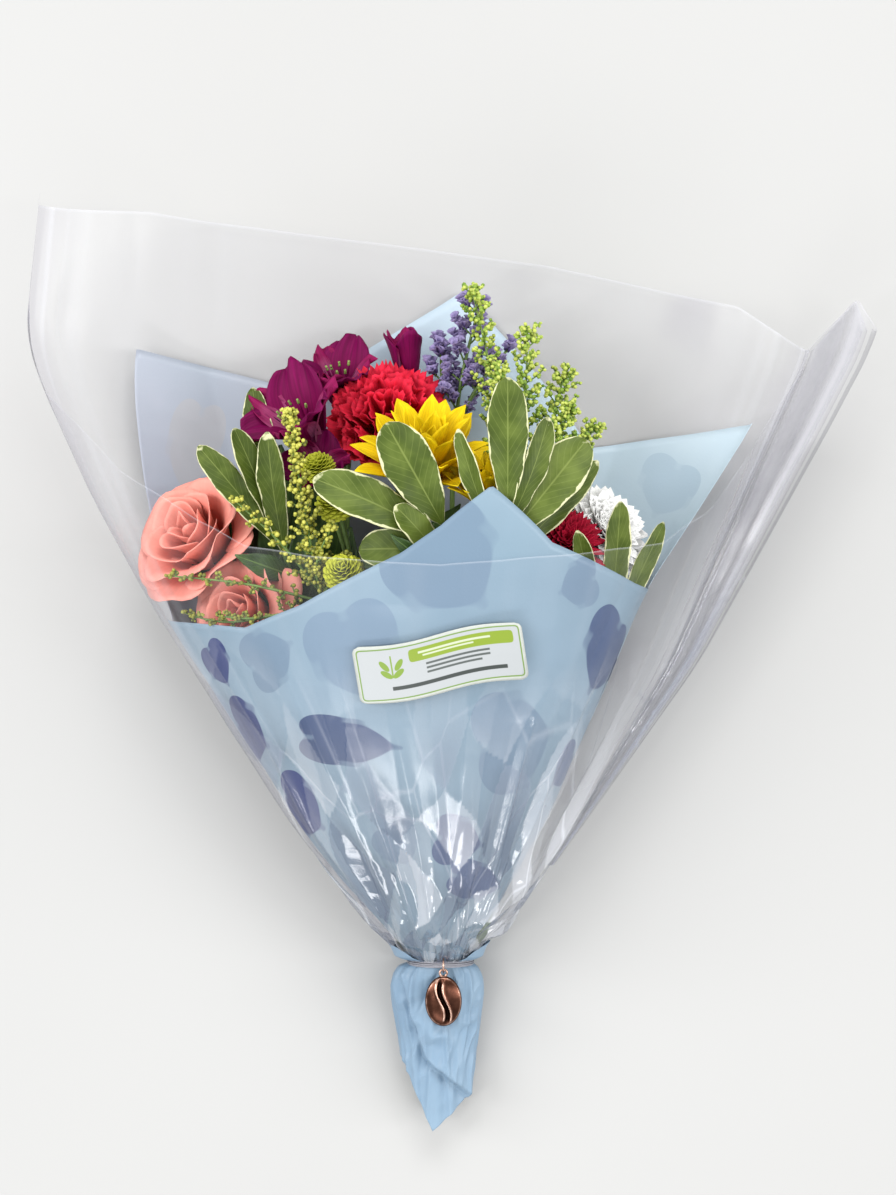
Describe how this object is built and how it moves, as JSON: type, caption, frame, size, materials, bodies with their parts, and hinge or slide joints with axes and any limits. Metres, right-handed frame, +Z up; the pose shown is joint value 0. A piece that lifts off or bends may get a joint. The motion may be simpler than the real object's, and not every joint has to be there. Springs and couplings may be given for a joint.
{
  "type": "mixed flower bouquet",
  "caption": "Mixed cut-flower bouquet in a light-blue paper wrap and a flared clear film sleeve, tied at the neck with a bean charm, lying on its back",
  "frame": {"origin": "on the surface that the bouquet lies on, under the middle of its box", "axes": "+Y from the cut stems to the flowers, +X to the right of someone looking down on the front of the wrap, +Z up from the surface"},
  "size_m": [0.4144, 0.4572, 0.1235],
  "materials": {
    "film": "clear polypropylene film, glossy, creased towards the tie",
    "paper": "light-blue wrapping paper, satin, printed with plain hearts",
    "label": "white self-adhesive paper label with a green border",
    "tie": "thin clear-grey elastic tie",
    "bronze": "antiqued copper-bronze plating, bright on raised rims",
    "stem": "cut green stems",
    "leaf": "variegated pittosporum leaves, grey-green with cream margins, semi-gloss",
    "rose": "coral rose petals, velvety",
    "carnation": "red carnation petals, serrated",
    "mum_red": "dark-red chrysanthemum petals",
    "mum_yellow": "yellow chrysanthemum petals",
    "mum_white": "white chrysanthemum petals",
    "alstroemeria": "dark-magenta alstroemeria petals",
    "pom": "lime-green button chrysanthemum florets",
    "statice": "papery lavender statice calyces",
    "goldenrod": "goldenrod flower buds on green side stems"
  },
  "bodies": {
    "root": {"film_back": "film", "film_back_right": "film", "film_front": "film", "film_front_right": "film", "film_roll": "film", "paper_front": "paper", "paper_back_right": "paper", "paper_back_left": "paper", "paper_tail": "paper", "label": "label", "neck_tie": "tie", "jump_ring": "bronze", "bean_charm": "bronze", "rose_coral_1": "rose", "rose_coral_1_stem": "stem", "rose_coral_2": "rose", "rose_coral_2_stem": "stem", "carnation_red": "carnation", "carnation_red_stem": "stem", "mum_yellow_1": "mum_yellow", "mum_yellow_1_stem": "stem", "mum_yellow_2": "mum_yellow", "mum_yellow_2_stem": "stem", "mum_white": "mum_white", "mum_white_stem": "stem", "mum_red": "mum_red", "mum_red_stem": "stem", "alstroemeria_lily_1": "alstroemeria", "alstroemeria_lily_2": "alstroemeria", "alstroemeria_lily_3": "alstroemeria", "alstroemeria_bud_4": "alstroemeria", "alstroemeria_stem": "stem", "button_pom_pom_1": "pom", "button_pom_pom_2": "pom", "button_pom_pom_3": "pom", "button_pom_stem": "stem", "statice": "statice", "goldenrod_right": "goldenrod", "goldenrod_left": "goldenrod", "twig_centre_stem": "stem", "twig_centre_leaf_1": "leaf", "twig_centre_leaf_2": "leaf", "twig_centre_leaf_3": "leaf", "twig_centre_leaf_4": "leaf", "twig_right_stem": "stem", "twig_right_leaf_1": "leaf", "twig_right_leaf_2": "leaf", "twig_right_leaf_3": "leaf", "twig_right_leaf_4": "leaf", "twig_right_leaf_5": "leaf", "twig_left_stem": "stem", "twig_left_leaf_1": "leaf", "twig_left_leaf_2": "leaf", "twig_left_leaf_3": "leaf", "twig_left_leaf_4": "leaf", "twig_low_right_stem": "stem", "twig_low_right_leaf_1": "leaf", "twig_low_right_leaf_2": "leaf", "twig_low_right_leaf_3": "leaf"}
  },
  "joints": []
}
